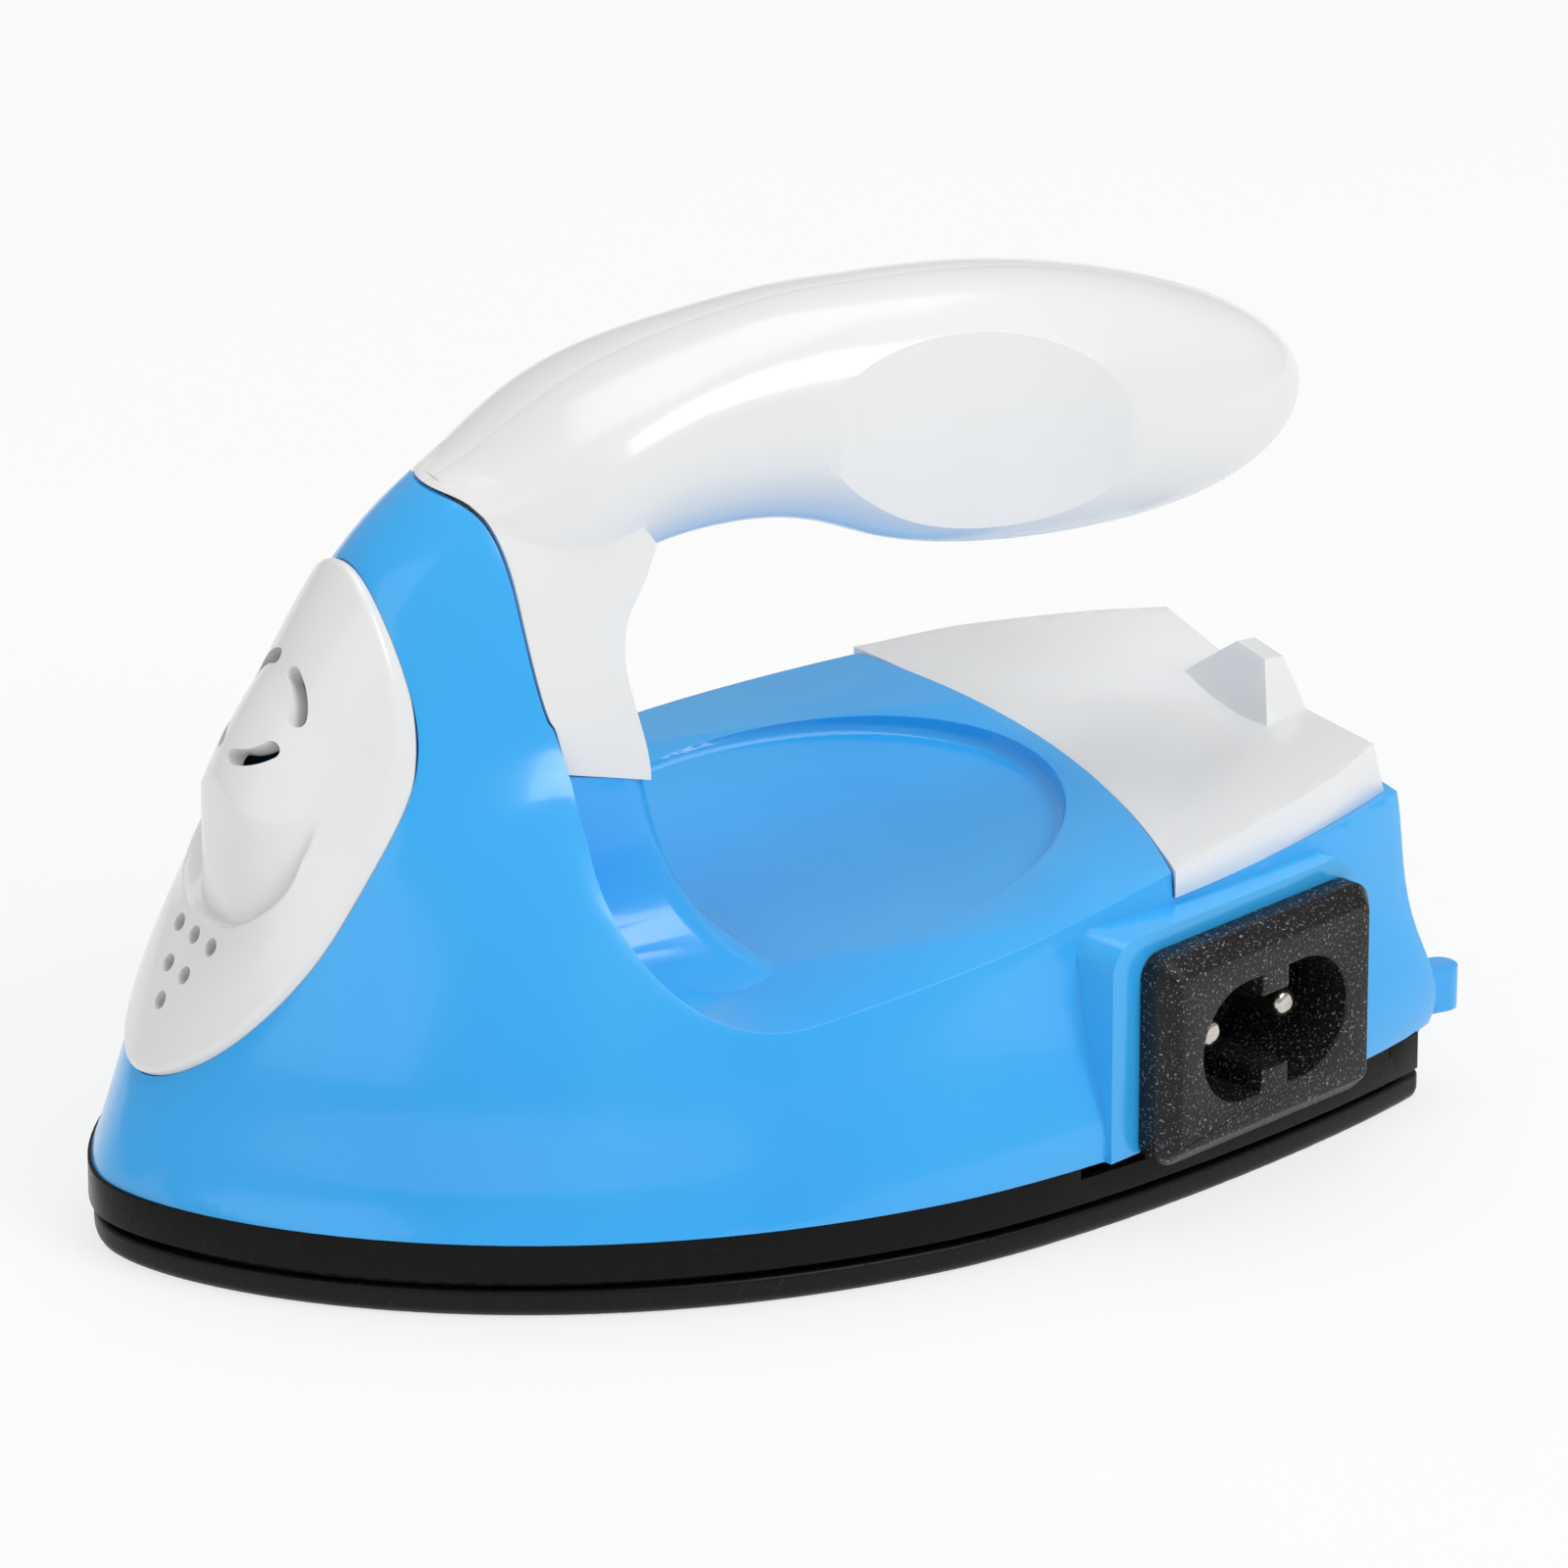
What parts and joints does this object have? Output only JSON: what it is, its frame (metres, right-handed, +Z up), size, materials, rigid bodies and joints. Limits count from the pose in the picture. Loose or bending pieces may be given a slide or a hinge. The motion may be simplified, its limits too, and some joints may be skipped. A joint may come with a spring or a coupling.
{
  "type": "mini handheld heat press",
  "caption": "Palm-sized craft heat press with a boat-shaped sole, vented front panel, two-piece handle, rear cover and a two-pin mains inlet on one side.",
  "frame": {"origin": "centre of the soleplate's working face, on the surface that it rests on", "axes": "+Z up from the working face, +X along the sole from the pointed nose towards the square tail, +Y to the side away from the mains inlet"},
  "size_m": [0.1096, 0.0682, 0.0689],
  "materials": {
    "blue_shell": "glossy sky-blue moulded plastic",
    "white_shell": "glossy white moulded plastic",
    "sole_coating": "black non-stick coating on cast aluminium",
    "shield_plastic": "satin black heat-resistant plastic",
    "inlet_plastic": "finely grained black plastic with bright speckle",
    "pin_nickel": "nickel plated",
    "ptc_ceramic": "fired grey ceramic",
    "electrode_brass": "rolled strip",
    "amber_film": "amber heat-proof film",
    "clamp_aluminium": "mill finish",
    "screw_steel": "zinc plated",
    "fuse_metal": "plain metal case",
    "sleeve_braid": "woven glass-fibre sleeve",
    "board_laminate": "green circuit laminate",
    "lamp_red": "clear red moulded lens",
    "resistor_body": "tan lacquer",
    "lead_insulation": "white silicone insulation"
  },
  "bodies": {
    "root": {"soleplate": "sole_coating", "heat_shield": "shield_plastic", "housing": "blue_shell", "front_panel": "white_shell", "handle_left": "white_shell", "handle_right": "white_shell", "rear_cover": "white_shell", "inlet_body": "inlet_plastic", "inlet_pin_live": "pin_nickel", "inlet_pin_neutral": "pin_nickel", "ptc_chips": "ptc_ceramic", "electrode_lower": "electrode_brass", "electrode_upper": "electrode_brass", "insulating_film": "amber_film", "clamp_plate": "clamp_aluminium", "clamp_screws": "screw_steel", "thermal_fuse": "fuse_metal", "fuse_sleeve": "sleeve_braid", "lamp_board": "board_laminate", "indicator_led": "lamp_red", "lamp_resistor": "resistor_body", "lamp_board_screws": "screw_steel", "lead_live_inlet": "lead_insulation", "lead_live_heater": "lead_insulation", "lead_neutral": "lead_insulation", "lamp_leads": "lead_insulation", "shield_screws": "screw_steel", "sole_screws": "screw_steel", "handle_screws": "screw_steel", "leg_screws": "screw_steel"}
  },
  "joints": []
}
